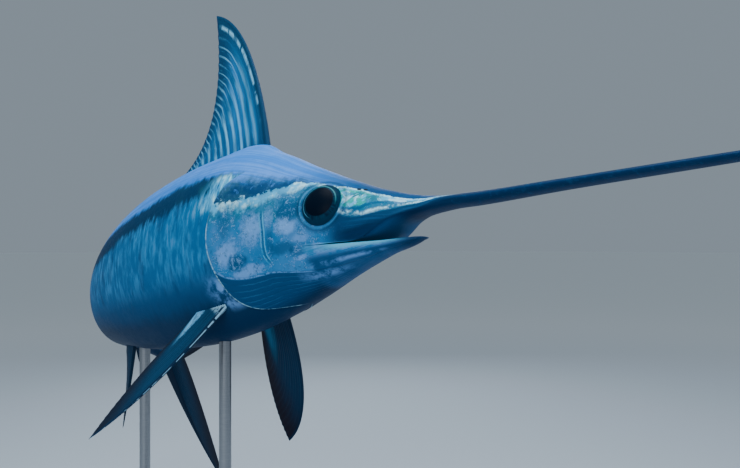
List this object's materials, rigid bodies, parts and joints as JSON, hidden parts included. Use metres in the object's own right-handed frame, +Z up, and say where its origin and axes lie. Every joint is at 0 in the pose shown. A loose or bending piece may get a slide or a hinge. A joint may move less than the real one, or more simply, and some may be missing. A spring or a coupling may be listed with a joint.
{
  "type": "swordfish model on a display stand",
  "caption": "Life-size still swordfish with a flat bill, large eyes, a sickle-shaped back fin and a curved body, held over a flat base by two rods",
  "frame": {"origin": "middle of the model's footprint on the floor, straight below the middle of the bounding box", "axes": "+X is the level heading of the head and bill, +Y the fish's left, to which the tail swings, +Z up"},
  "size_m": [2.4488, 1.358, 1.4942],
  "materials": {
    "skin": "satin, painted steel blue over silver with a dark back",
    "bill": "satin, dark blue grey",
    "fin": "satin, near black blue with a brown cast at the tips",
    "eye": "polished, dark with a pale rim",
    "base": "matt charcoal",
    "rod": "brushed"
  },
  "bodies": {
    "root": {"bill": "bill", "head": "skin", "lower_jaw": "skin", "eye_right": "eye", "eye_left": "eye", "torso_front": "skin", "torso_rear": "skin", "tail_stalk": "skin", "dorsal_fin_first": "fin", "dorsal_fin_second": "fin", "anal_fin_first": "fin", "anal_fin_second": "fin", "pectoral_fin_right": "fin", "pectoral_fin_left": "fin", "caudal_lobe_upper": "fin", "caudal_lobe_lower": "fin", "stand_base": "base", "stand_rod_front": "rod", "stand_rod_rear": "rod"}
  },
  "joints": []
}
